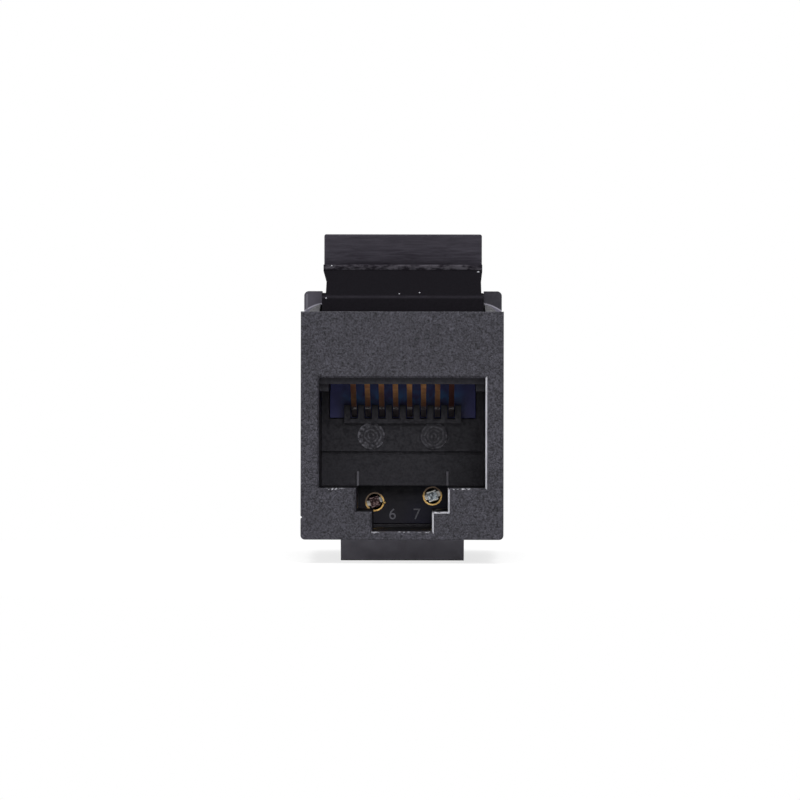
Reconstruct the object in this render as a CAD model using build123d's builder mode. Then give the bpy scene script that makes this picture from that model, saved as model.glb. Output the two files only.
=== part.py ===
from build123d import *
import math
import os

# Snap-in ethernet socket with eight contacts, a circuit board, a rear terminal block and a
# wire cap. The origin is the centre of the front face, which lies at y = 0. +Y runs into the
# socket and +Z is up. Sizes are in millimetres and angles in degrees. Names that end in _z
# are heights above the origin, and names that end in _y are depths behind the front face.

os.makedirs("parts", exist_ok=True)

# Front face
face_overhang = 0.29
face_thickness = 1.5
face_corner_radius = 0.32
face_edge_break = 0.05
nick_rise = 1.6
nick_depth = 0.11

# Plug port
port_width = 11.9
port_height = 7.875
port_depth = 9.6
port_chamfer = 0.12
key_wide_width = 6.57
key_wide_drop = 1.69
key_narrow_width = 4.3
key_narrow_drop = 3.1
key_wall = 0.595
lip_height = 0.45
lip_front_y = 1.2
lip_thickness = 1.0

# Body, collar and panel catch
side_wall = 1.01
body_floor_radius = 0.5
shoulder_rise = 0.71
shoulder_radius = 1.43
shoulder_ramp_length = 4.6
collar_step = 0.31
collar_wall = 1.07
collar_rise = 1.69
collar_corner_radius = 0.35
collar_room = 1.4
catch_depth = 8.0
panel_slot = 2.2
hook_width = 8.95
hook_thickness = 1.5
hook_drop = 1.7
hook_ramp = 0.9
hook_edge_radius = 0.25
hook_seam_width = 0.3
hook_seam_height = 0.06
hook_seam_drop = 1.46
stop_drop = 1.25
core_wall = 0.7

# Wall at the back of the port
wall_thickness = 1.2
wall_groove_rise = 2.405
wall_groove_height = 0.2
wall_groove_depth = 0.3
wall_step = 0.1
window_margin = 0.55
pad_radius = 1.0
pad_height = 0.07
pad_spacing = 4.6
pad_rise = 3.655
guide_height = 1.05
guide_width = 0.16
guide_depth = 0.25

# Comb for the contact tips
comb_reach = 0.7
comb_shelf = 0.35
tooth_height = 1.0
comb_slot_gap = 0.09

# Contacts
contact_count = 8
contact_pitch = 1.016
contact_width = 0.38
contact_thickness = 0.3
contact_row_step = 0.45
lead_rise = 1.28
lead_cover = 0.75
bend_radius = 0.85
bend_gap = 0.1
tine_angle = 19.5
tine_tip_gap = 0.1
lead_jog = 1.0
tail_straight = 0.5
tail_length = 0.35

# Carrier
ledge_width = 0.65
ledge_thickness = 0.75
pocket_roof = 0.95
carrier_gap = 0.05
rib_length_gap = 0.9
window_setback = 0.3
carrier_rear_inset = 1.1
carrier_rear_length = 1.8

# Latch
well_wall = 1.01
well_drop = 1.75
latch_gap = 0.15
root_radius = 0.6
root_clearance = 0.05
root_drop = 0.9
seat_wall = 0.4
neck_rise_angle = 83.0
neck_fall_angle = 7.0
neck_play = 5.0
riser_step = 0.75
riser_rise = 1.3
riser_radius = 0.2
catch_flat = 0.4
ramp_rise = 3.12
peak_rise = 3.57
groove_rise = 2.1
tab_rise = 5.88
tab_thickness = 1.2
tab_edge_radius = 0.15
arm_under_rise = 0.25
arm_rear_rise = 0.8
arm_elbow_step = 1.65
left_relief = 0.27
right_relief = 0.12
relief_low_rise = 1.4
relief_middle_rise = 2.25
relief_high_rise = 3.1
latch_core_wall = 0.8
latch_travel = 13.0

# Circuit board and plated holes
board_gap = 0.2
board_thickness = 1.2
board_floor_gap = 0.85
board_top_gap = 1.44
board_corner_radius = 0.3
plating = 0.05
hole_gap = 0.01
contact_hole_sides = 8
idc_hole_sides = 16
contact_hole_radius = 0.28
idc_hole_radius = 0.6
idc_ring_width = 0.12

# Insulation displacement blades
idc_centre_x = 0.06
idc_inner_spacing = 4.27
idc_edge_gap = 1.2
idc_stagger = 0.22
idc_low_rise = 1.81
idc_high_drop = 1.2
idc_angle = 18.0
blade_width = 2.0
blade_thickness = 0.4
blade_base_gap = 0.3
blade_tip_gap = 0.8
fork_slot = 0.3
fork_depth = 4.0
fork_mouth = 0.45
pin_width = 0.72
pin_beam = 0.16
pin_eye = 0.56
pin_tip_gap = 0.1

# Terminal block
block_inset = 0.07
block_floor_gap = 0.1
block_top_gap = 0.09
block_plate = 1.6
skirt_gap = 0.3
latch_relief_depth = 0.8
latch_relief_gap = 0.3
tower_width = 2.7
tower_height = 3.0
tower_length = 5.8
tower_tip = 1.2
tower_taper = 9.0
wire_slot = 1.0
wire_slot_depth = 4.6
blade_gap = 0.1
tail_room = 0.2

# Clips between the block and the collar
clip_thickness = 0.7
clip_height = 1.8
clip_gap = 0.15
clip_inset = 0.85
clip_barb = 0.6
clip_barb_length = 0.7
clip_high_drop = 1.05
clip_low_rise = 2.355
clip_tip_gap = 0.15

# Wire cap
cap_gap = 0.05
cap_overhang = 0.15
cap_wall = 0.6
cap_length = 13.4
cap_back = 1.2
cap_corner_radius = 0.8
grip_count = 5
grip_pitch = 1.3
grip_width = 0.55
grip_depth = 0.25
grip_height = 9.0
pusher_gap = 0.1
pusher_clear = 0.4
cable_radius = 3.2
entry_wall = 1.1
entry_length = 1.4

# How far a cut runs past the surface that it opens
overshoot = 1.0

# Widths that follow from the port and its walls
body_width = port_width + 2 * side_wall
face_width = body_width + 2 * face_overhang
collar_width = body_width + 2 * collar_step
well_width = body_width - 2 * well_wall
window_width = port_width - 2 * window_margin
board_width = collar_width - 2 * collar_wall
carrier_rear_width = board_width - 2 * carrier_rear_inset
block_width = collar_width - 2 * block_inset
cap_width = block_width + 2 * cap_overhang
clip_x = board_width / 2 - clip_inset

# Heights that follow from what is stacked between the top of the face and its bottom
port_drop = well_drop + pocket_roof + lead_cover + lead_rise
face_height = port_drop + port_height + key_narrow_drop + key_wall
top_z = face_height / 2
bottom_z = -face_height / 2
port_ceiling_z = top_z - port_drop
port_floor_z = port_ceiling_z - port_height
lip_z = port_ceiling_z - lip_height
lead_z = port_ceiling_z + lead_rise
shoulder_top_z = top_z + shoulder_rise
collar_top_z = top_z + collar_rise
well_floor_z = top_z - well_drop
pocket_top_z = well_floor_z - pocket_roof
wall_groove_z = port_floor_z + wall_groove_rise
pad_z = port_floor_z + pad_rise
root_z = top_z - root_drop
board_floor_z = bottom_z + board_floor_gap
board_top_z = collar_top_z - board_top_gap
idc_low_z = board_floor_z + idc_low_rise
idc_high_z = board_top_z - idc_high_drop
block_floor_z = bottom_z + block_floor_gap
block_top_z = collar_top_z - block_top_gap
clip_low_z = port_floor_z + clip_low_rise
clip_high_z = pocket_top_z - clip_high_drop

# Depths behind the front face
lip_back_y = lip_front_y + lip_thickness
root_y = face_thickness + root_radius + root_clearance
riser_y = root_y + riser_step
arm_elbow_y = root_y + arm_elbow_step
ramp_end_y = catch_depth - catch_flat
collar_front_y = catch_depth + panel_slot
wall_back_y = port_depth + wall_thickness
collar_back_y = wall_back_y + collar_room
board_front_y = collar_back_y + board_gap
board_back_y = board_front_y + board_thickness
carrier_back_y = board_front_y - plating - carrier_gap
plate_back_y = board_back_y + block_plate
tower_back_y = plate_back_y + tower_length
blade_front_y = board_back_y + blade_base_gap
blade_back_y = tower_back_y - blade_tip_gap
pin_back_y = blade_front_y + blade_base_gap / 2
cap_front_y = plate_back_y + cap_gap
cap_back_y = cap_front_y + cap_length

# Deck that the contacts bend round, their tines and the wall below their tips
deck_half = bend_radius - contact_thickness / 2 - carrier_gap
deck_centre_z = lead_z - bend_radius
deck_floor_z = deck_centre_z - deck_half
deck_top_z = deck_centre_z + deck_half
bend_y = lip_back_y + bend_gap + bend_radius + contact_thickness / 2
tine_start_y = bend_y - bend_radius * math.sin(math.radians(tine_angle))
tine_start_z = deck_centre_z - bend_radius * math.cos(math.radians(tine_angle))
tine_tip_y = port_depth - tine_tip_gap
tine_tip_z = tine_start_z - (tine_tip_y - tine_start_y) * math.tan(math.radians(tine_angle))
wall_top_z = tine_tip_z - contact_thickness / 2 - 3 * carrier_gap
rib_half = contact_pitch * (contact_count + 1) / 2

# Places of the contacts and of the blades across the socket
contact_xs = [(i - (contact_count - 1) / 2) * contact_pitch for i in range(contact_count)]
idc_columns = [
    idc_centre_x - board_width / 2 + idc_edge_gap,
    idc_centre_x - idc_inner_spacing / 2,
    idc_centre_x + idc_inner_spacing / 2,
    idc_centre_x + board_width / 2 - idc_edge_gap,
]
idc_places = [
    (x, row_z + idc_stagger * (-1 if column % 2 else 1))
    for row_z in (idc_high_z, idc_low_z)
    for column, x in enumerate(idc_columns)
]


def across(y):
    """Plane across the socket at depth y, with its axes along X and Z."""
    return Plane.XZ.offset(-y)


def rectangle_between(x_low, z_low, x_high, z_high, mode=Mode.ADD):
    """Rectangle of a sketch, given by two opposite corners."""
    with Locations(((x_low + x_high) / 2, (z_low + z_high) / 2)):
        Rectangle(x_high - x_low, z_high - z_low, mode=mode)


def cut_block(x_low, x_high, z_low, z_high, y_front, y_back):
    """Cut a straight-sided hollow into the part that is being built."""
    with BuildSketch(across(y_front)) as outline:
        rectangle_between(x_low, z_low, x_high, z_high)
    extrude(outline.sketch, amount=y_front - y_back, mode=Mode.SUBTRACT)


def add_block(x_low, x_high, z_low, z_high, y_front, y_back):
    """Add a straight-sided rib, ledge or plate to the part that is being built."""
    with BuildSketch(across(y_front)) as outline:
        rectangle_between(x_low, z_low, x_high, z_high)
    extrude(outline.sketch, amount=y_front - y_back)


# Front housing: face, body with sloping shoulders, collar, hook, port and comb
with BuildPart() as front_housing:
    with BuildSketch(across(0)) as face:
        Rectangle(face_width, face_height)
        fillet(face.vertices().group_by(Axis.Y)[0], face_corner_radius)
    extrude(amount=-face_thickness)
    chamfer(front_housing.faces().sort_by(Axis.Y)[0].edges(), face_edge_break)

    # Small nick in the left edge of the face
    with BuildSketch(across(0)):
        with Locations((-face_width / 2, bottom_z + nick_rise)):
            RegularPolygon(nick_depth, 4)
    extrude(amount=-face_thickness, mode=Mode.SUBTRACT)

    with BuildSketch(across(face_thickness)) as body:
        rectangle_between(-body_width / 2, bottom_z, body_width / 2, shoulder_top_z)
        fillet(body.vertices().group_by(Axis.Y)[-1], shoulder_radius)
        fillet(body.vertices().group_by(Axis.Y)[0], body_floor_radius)
    extrude(amount=face_thickness - collar_front_y)

    # The shoulders slope up from behind the face
    with BuildSketch(Plane.YZ) as ramp:
        with BuildLine():
            Polyline(
                (face_thickness, top_z - face_edge_break),
                (face_thickness + shoulder_ramp_length, shoulder_top_z),
                (face_thickness, shoulder_top_z),
                close=True,
            )
        make_face()
    extrude(amount=body_width, both=True, mode=Mode.SUBTRACT)

    with BuildSketch(across(collar_front_y)) as collar:
        rectangle_between(-collar_width / 2, bottom_z, collar_width / 2, collar_top_z)
        fillet(collar.vertices().group_by(Axis.Y)[-1], collar_corner_radius)
        fillet(collar.vertices().group_by(Axis.Y)[0], body_floor_radius)
    extrude(amount=collar_front_y - collar_back_y)

    # Fixed hook, with a faint seam down its front, and the stop behind the panel slot
    with BuildSketch(Plane.YZ) as hook:
        with BuildLine():
            Polyline(
                (catch_depth - hook_thickness - hook_ramp, bottom_z),
                (catch_depth - hook_thickness, bottom_z - hook_drop),
                (catch_depth, bottom_z - hook_drop),
                (catch_depth, bottom_z + face_thickness / 2),
                (catch_depth - hook_thickness - hook_ramp, bottom_z + face_thickness / 2),
                close=True,
            )
        make_face()
        fillet(hook.vertices().sort_by(Axis.Y)[:2], hook_edge_radius)
    extrude(amount=hook_width / 2, both=True)
    with BuildSketch(Plane.YZ) as seam:
        with BuildLine():
            Polyline(
                (catch_depth - hook_thickness - hook_ramp - hook_seam_height, bottom_z),
                (catch_depth - hook_thickness - hook_seam_height, bottom_z - hook_seam_drop),
                (catch_depth - hook_thickness, bottom_z - hook_seam_drop),
                (catch_depth - hook_thickness, bottom_z),
                close=True,
            )
        make_face()
    extrude(amount=hook_seam_width / 2, both=True)
    add_block(
        -hook_width / 2 + hook_edge_radius,
        hook_width / 2 - hook_edge_radius,
        bottom_z - stop_drop,
        bottom_z + core_wall,
        collar_front_y,
        collar_back_y,
    )

    # Well for the latch, open behind and above
    cut_block(
        -well_width / 2,
        well_width / 2,
        well_floor_z,
        collar_top_z + overshoot,
        face_thickness,
        collar_back_y,
    )

    # Port with its stepped keyway, the mouth above it and the lip that hides the bends
    with BuildSketch(across(0)) as port:
        rectangle_between(
            -port_width / 2, port_floor_z, port_width / 2, deck_floor_z - ledge_thickness
        )
        rectangle_between(
            -key_wide_width / 2, port_floor_z - key_wide_drop, key_wide_width / 2, port_floor_z
        )
        rectangle_between(
            -key_narrow_width / 2, port_floor_z - key_narrow_drop, key_narrow_width / 2, port_floor_z
        )
    extrude(amount=-port_depth, mode=Mode.SUBTRACT)
    cut_block(-port_width / 2, port_width / 2, port_floor_z, lip_z, 0, lip_back_y)
    cut_block(-port_width / 2, port_width / 2, port_floor_z, port_ceiling_z, 0, lip_front_y)
    mouth = front_housing.faces().sort_by(Axis.Y)[0].inner_wires()[0]
    chamfer(mouth.edges(), port_chamfer)

    # Pocket for the carrier above the port, between two ledges that hold it
    cut_block(
        -port_width / 2, port_width / 2, deck_floor_z, pocket_top_z, lip_back_y, collar_back_y
    )
    cut_block(
        -port_width / 2 + ledge_width,
        port_width / 2 - ledge_width,
        port_floor_z,
        pocket_top_z,
        lip_back_y,
        port_depth,
    )
    cut_block(-window_width / 2, window_width / 2, wall_top_z, pocket_top_z, port_depth, wall_back_y)

    # Keyways run on through the back wall, and the pocket behind it faces the board
    with BuildSketch(across(port_depth)) as keyway:
        rectangle_between(
            -key_wide_width / 2, port_floor_z - key_wide_drop, key_wide_width / 2, port_floor_z
        )
        rectangle_between(
            -key_narrow_width / 2, port_floor_z - key_narrow_drop, key_narrow_width / 2, port_floor_z
        )
    extrude(amount=-wall_thickness, mode=Mode.SUBTRACT)
    cut_block(
        -board_width / 2,
        board_width / 2,
        port_floor_z - key_narrow_drop,
        pocket_top_z,
        wall_back_y,
        collar_back_y,
    )

    # Hollows beside the keyway that keep the moulding even
    for side in (-1, 1):
        x_inner = side * (key_wide_width / 2 + core_wall)
        x_outer = side * (body_width / 2 - core_wall)
        cut_block(
            min(x_inner, x_outer),
            max(x_inner, x_outer),
            bottom_z + core_wall,
            port_floor_z - core_wall,
            face_thickness + core_wall,
            wall_back_y,
        )

    # Windows in the sides of the collar for the clips of the terminal block
    for clip_z in (clip_low_z, clip_high_z):
        cut_block(
            -collar_width / 2 - overshoot,
            collar_width / 2 + overshoot,
            clip_z - clip_height / 2 - clip_gap,
            clip_z + clip_height / 2 + clip_gap,
            wall_back_y + clip_tip_gap / 2,
            wall_back_y + clip_tip_gap + clip_barb_length + clip_gap,
        )

    # Face of the back wall: a groove, a step below it, two round pads and two guide ribs
    add_block(
        -port_width / 2,
        port_width / 2,
        port_floor_z,
        wall_groove_z - wall_groove_height / 2,
        port_depth - wall_step,
        port_depth,
    )
    cut_block(
        -port_width / 2,
        port_width / 2,
        wall_groove_z - wall_groove_height / 2,
        wall_groove_z + wall_groove_height / 2,
        port_depth - wall_step,
        port_depth + wall_groove_depth,
    )
    with BuildSketch(across(port_depth - pad_height)):
        with Locations((-pad_spacing / 2, pad_z), (pad_spacing / 2, pad_z)):
            Circle(pad_radius)
    extrude(amount=-pad_height)
    for side in (-1, 1):
        add_block(
            side * key_wide_width / 2 - guide_width / 2,
            side * key_wide_width / 2 + guide_width / 2,
            port_floor_z,
            port_floor_z + guide_height,
            port_depth - wall_step - guide_depth,
            port_depth - wall_step,
        )

    # Comb whose teeth stand between the contact tips
    comb_half = contact_pitch * contact_count / 2 + contact_pitch / 4
    tooth_width = contact_pitch - contact_width - 2 * comb_slot_gap
    add_block(
        -comb_half,
        comb_half,
        wall_top_z - comb_shelf,
        wall_top_z,
        port_depth - comb_reach,
        port_depth,
    )
    for i in range(contact_count + 1):
        tooth_x = (i - contact_count / 2) * contact_pitch
        add_block(
            tooth_x - tooth_width / 2,
            tooth_x + tooth_width / 2,
            wall_top_z - comb_shelf,
            wall_top_z + tooth_height,
            port_depth - comb_reach,
            port_depth + window_setback / 2,
        )

    # Seat behind the face that wraps round the root of the latch
    with BuildSketch(Plane.YZ) as seat:
        rectangle_between(
            face_thickness / 2,
            well_floor_z - pocket_roof / 2,
            root_y + root_radius + root_clearance + seat_wall,
            top_z - face_edge_break,
        )
        with Locations((root_y, root_z)):
            Circle(root_radius + root_clearance, mode=Mode.SUBTRACT)
        with BuildLine():
            reach = 4 * root_radius
            low = math.radians(neck_fall_angle - latch_travel - neck_play)
            high = math.radians(neck_rise_angle + neck_play)
            Polyline(
                (root_y, root_z),
                (root_y + reach * math.cos(low), root_z + reach * math.sin(low)),
                (root_y + reach, root_z + reach),
                (root_y + reach * math.cos(high), root_z + reach * math.sin(high)),
                close=True,
            )
        make_face(mode=Mode.SUBTRACT)
    extrude(amount=well_width / 2, both=True)

front_housing.part.label = "front_housing"
export_step(front_housing.part, "parts/front_housing.step")


# Release latch: a round root, a steep riser, a ramp up to the catch edge and a thumb tab
with BuildPart() as release_latch:
    with BuildSketch(Plane.YZ) as arm:
        with BuildLine():
            neck_high = math.radians(neck_rise_angle)
            neck_low = math.radians(neck_fall_angle)
            tab_back_y = collar_front_y + tab_thickness
            Polyline(
                (root_y + root_radius * math.cos(neck_high), root_z + root_radius * math.sin(neck_high)),
                (riser_y, top_z + riser_rise),
                (ramp_end_y, top_z + ramp_rise),
                (ramp_end_y, top_z + peak_rise),
                (catch_depth, top_z + peak_rise),
                (catch_depth, top_z + groove_rise),
                (collar_front_y, top_z + groove_rise),
                (collar_front_y, top_z + tab_rise),
                (tab_back_y, top_z + tab_rise),
                (tab_back_y, top_z + arm_rear_rise),
                (arm_elbow_y, top_z + arm_under_rise),
                (root_y + root_radius * math.cos(neck_low), root_z + root_radius * math.sin(neck_low)),
                close=True,
            )
        make_face()
        peak = arm.vertices().sort_by_distance((ramp_end_y, top_z + peak_rise))[0]
        fillet(peak, catch_flat / 3)
        tab_top = arm.vertices().group_by(Axis.Y)[-1]
        fillet(tab_top, tab_edge_radius)
        riser = arm.vertices().sort_by_distance((riser_y, top_z + riser_rise))[0]
        fillet(riser, riser_radius)
        with Locations((root_y, root_z)):
            Circle(root_radius)
    extrude(amount=well_width / 2 - latch_gap, both=True)
    fillet(release_latch.edges().filter_by(Axis.Y).group_by(Axis.Z)[-1], latch_gap)

    # Hollows under the ramp keep the moulding even, with a rib between them
    with BuildSketch(Plane.YZ) as hollow:
        with BuildLine():
            core_slope = (ramp_rise - riser_rise) / (ramp_end_y - riser_y)
            core_front_y = arm_elbow_y + 2 * latch_core_wall
            core_front_z = (
                top_z + riser_rise + core_slope * (core_front_y - riser_y) - latch_core_wall
            )
            core_back_y = ramp_end_y - latch_core_wall / 2
            Polyline(
                (core_front_y, top_z),
                (core_front_y, core_front_z),
                (core_back_y, core_front_z + core_slope * (core_back_y - core_front_y)),
                (core_back_y, top_z),
                close=True,
            )
        make_face()
    extrude(amount=well_width / 2 - latch_gap - latch_core_wall, both=True, mode=Mode.SUBTRACT)
    with BuildSketch(Plane.YZ) as rib:
        rectangle_between(
            core_front_y - latch_core_wall / 2,
            top_z + arm_rear_rise,
            core_back_y + latch_core_wall / 2,
            core_front_z + latch_core_wall / 4,
        )
    extrude(amount=latch_core_wall / 2, both=True)

    # The edges of the arm are relieved below the catch edge, the left one by more
    with BuildSketch(across(root_y)):
        for side, relief in ((-1, left_relief), (1, right_relief)):
            edge_x = side * (well_width / 2 - latch_gap)
            with BuildLine():
                Polyline(
                    (edge_x + side * overshoot, top_z + relief_low_rise),
                    (edge_x - side * relief, top_z + relief_low_rise),
                    (edge_x - side * relief, top_z + relief_middle_rise),
                    (edge_x, top_z + relief_high_rise),
                    (edge_x + side * overshoot, top_z + relief_high_rise),
                    close=True,
                )
            make_face()
    extrude(amount=root_y - collar_back_y, mode=Mode.SUBTRACT)

release_latch.part.label = "release_latch"
export_step(release_latch.part, "parts/release_latch.step")


# Contact carrier: a deck with a round nose, ribs between the leads and a block that drops
# behind the window in the back wall
with BuildPart() as contact_carrier:
    carrier_half = port_width / 2 - carrier_gap
    rear_y = carrier_back_y - carrier_rear_length
    with BuildSketch(Plane.YZ) as deck:
        rectangle_between(bend_y, deck_floor_z, carrier_back_y, deck_top_z)
        with Locations((bend_y, deck_centre_z)):
            Circle(deck_half)
    extrude(amount=carrier_half, both=True)
    add_block(
        -window_width / 2 + carrier_gap,
        window_width / 2 - carrier_gap,
        wall_top_z + carrier_gap,
        deck_centre_z,
        port_depth + window_setback,
        carrier_back_y,
    )
    add_block(
        -rib_half,
        rib_half,
        deck_centre_z,
        pocket_top_z - carrier_gap,
        bend_y + rib_length_gap,
        carrier_back_y,
    )
    for side in (-1, 1):
        x_inner = side * carrier_rear_width / 2
        x_outer = side * port_width
        cut_block(
            min(x_inner, x_outer), max(x_inner, x_outer), bottom_z, top_z, rear_y, carrier_back_y
        )
    groove_half = contact_width / 2 + carrier_gap
    for x in contact_xs:
        cut_block(
            x - groove_half,
            x + groove_half,
            deck_top_z,
            pocket_top_z,
            bend_y,
            carrier_back_y,
        )
        cut_block(
            x - groove_half,
            x + groove_half,
            lead_z - contact_row_step - contact_thickness / 2 - carrier_gap,
            pocket_top_z,
            rear_y,
            carrier_back_y,
        )

contact_carrier.part.label = "contact_carrier"
export_step(contact_carrier.part, "parts/contact_carrier.step")


# Contacts: one bent wire each, from a tail in the board over the deck, round its nose and
# down along the port to a tip in the comb. Even and odd tails sit in two rows.
def contact_row_z(index):
    """Height of the tail of a contact."""
    return lead_z + contact_row_step * (1 if index % 2 else -1)


for index, x in enumerate(contact_xs):
    with BuildPart() as contact:
        with BuildSketch(Plane.YZ.offset(x)) as wire:
            with BuildLine():
                jog_back_y = board_front_y - tail_straight
                FilletPolyline(
                    (board_back_y + tail_length, contact_row_z(index)),
                    (jog_back_y, contact_row_z(index)),
                    (jog_back_y - lead_jog, lead_z),
                    (bend_y, lead_z),
                    radius=contact_thickness,
                )
                bend = CenterArc((bend_y, deck_centre_z), bend_radius, 90, 180 - tine_angle)
                Line(bend @ 1, (tine_tip_y, tine_tip_z))
            trace(line_width=contact_thickness)
        extrude(amount=contact_width / 2, both=True)
    contact.part.label = f"contact_{index + 1}"
    export_step(contact.part, f"parts/contact_{index + 1}.step")


# Circuit board: notched at its edges for the clips and drilled for the plated holes
contact_places = [(x, contact_row_z(index)) for index, x in enumerate(contact_xs)]
contact_drill = contact_hole_radius + plating + hole_gap
idc_drill = idc_hole_radius + plating + hole_gap

with BuildPart() as circuit_board:
    with BuildSketch(across(board_front_y)) as outline:
        rectangle_between(-board_width / 2, board_floor_z, board_width / 2, board_top_z)
        fillet(outline.vertices(), board_corner_radius)
        for clip_z in (clip_low_z, clip_high_z):
            for side in (-1, 1):
                with Locations((side * (clip_x - clip_gap + board_width / 4), clip_z)):
                    Rectangle(board_width / 2, clip_height + 2 * clip_gap, mode=Mode.SUBTRACT)
        with Locations(*contact_places):
            RegularPolygon(contact_drill, contact_hole_sides, mode=Mode.SUBTRACT)
        with Locations(*idc_places):
            RegularPolygon(idc_drill, idc_hole_sides, mode=Mode.SUBTRACT)
    extrude(amount=-board_thickness)

circuit_board.part.label = "circuit_board"
export_step(circuit_board.part, "parts/circuit_board.step")


# Plated holes: a thin barrel through the board for each tail, and a flat ring on the front
# of the board round each hole that takes a blade. The holes are faceted to keep them light.
with BuildPart() as plated_holes:
    for places, radius, sides in (
        (contact_places, contact_hole_radius, contact_hole_sides),
        (idc_places, idc_hole_radius, idc_hole_sides),
    ):
        with BuildSketch(across(board_front_y - plating)) as barrel:
            with Locations(*places):
                RegularPolygon(radius + plating, sides)
                RegularPolygon(radius, sides, mode=Mode.SUBTRACT)
        extrude(amount=-board_thickness - 2 * plating)
    with BuildSketch(across(board_front_y - plating)) as ring:
        with Locations(*idc_places):
            RegularPolygon(idc_hole_radius + idc_ring_width, idc_hole_sides)
            RegularPolygon(idc_hole_radius, idc_hole_sides, mode=Mode.SUBTRACT)
    extrude(amount=-plating)

plated_holes.part.label = "plated_holes"
export_step(plated_holes.part, "parts/plated_holes.step")


def blade_plane(x, z):
    """Plane of an insulation displacement blade, turned about the line into the socket."""
    turn = math.radians(idc_angle)
    normal = (-math.sin(turn), 0, math.cos(turn))
    return Plane(origin=(x, 0, z), x_dir=(math.cos(turn), 0, math.sin(turn)), z_dir=normal)


def pin_plane(x, z):
    """Plane of the split tail of a blade, a quarter turn from the blade itself."""
    turn = math.radians(idc_angle)
    normal = (math.cos(turn), 0, math.sin(turn))
    return Plane(origin=(x, 0, z), x_dir=(math.sin(turn), 0, -math.cos(turn)), z_dir=normal)


# Insulation displacement blades: a fork that grips the conductor, and a split tail that is
# pressed into the board
for index, (x, z) in enumerate(idc_places):
    with BuildPart() as idc:
        with BuildSketch(blade_plane(x, z)) as blade:
            with BuildLine():
                Polyline(
                    (-blade_width / 2, blade_front_y),
                    (blade_width / 2, blade_front_y),
                    (blade_width / 2, blade_back_y - fork_mouth),
                    (fork_mouth + fork_slot, blade_back_y),
                    (fork_mouth + fork_slot / 2, blade_back_y),
                    (fork_slot / 2, blade_back_y - 2 * fork_mouth),
                    (fork_slot / 2, blade_back_y - fork_depth),
                    (-fork_slot / 2, blade_back_y - fork_depth),
                    (-fork_slot / 2, blade_back_y - 2 * fork_mouth),
                    (-fork_mouth - fork_slot / 2, blade_back_y),
                    (-fork_mouth - fork_slot, blade_back_y),
                    (-blade_width / 2, blade_back_y - fork_mouth),
                    close=True,
                )
            make_face()
        extrude(amount=blade_thickness / 2, both=True)
        with BuildSketch(pin_plane(x, z)) as pin:
            tip_y = board_front_y - pin_tip_gap
            eye_back_y = board_back_y - board_thickness / 6
            pin_half = pin_eye / 2 + pin_beam
            rectangle_between(-pin_half, tip_y, pin_half, pin_back_y)
            chamfer(pin.vertices().group_by(Axis.Y)[0], pin_beam / 2)
            rectangle_between(-pin_eye / 2, tip_y - overshoot, pin_eye / 2, eye_back_y, Mode.SUBTRACT)
        extrude(amount=pin_width / 2, both=True)
    idc.part.label = f"idc_{index + 1}"
    export_step(idc.part, f"parts/idc_{index + 1}.step")


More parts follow.
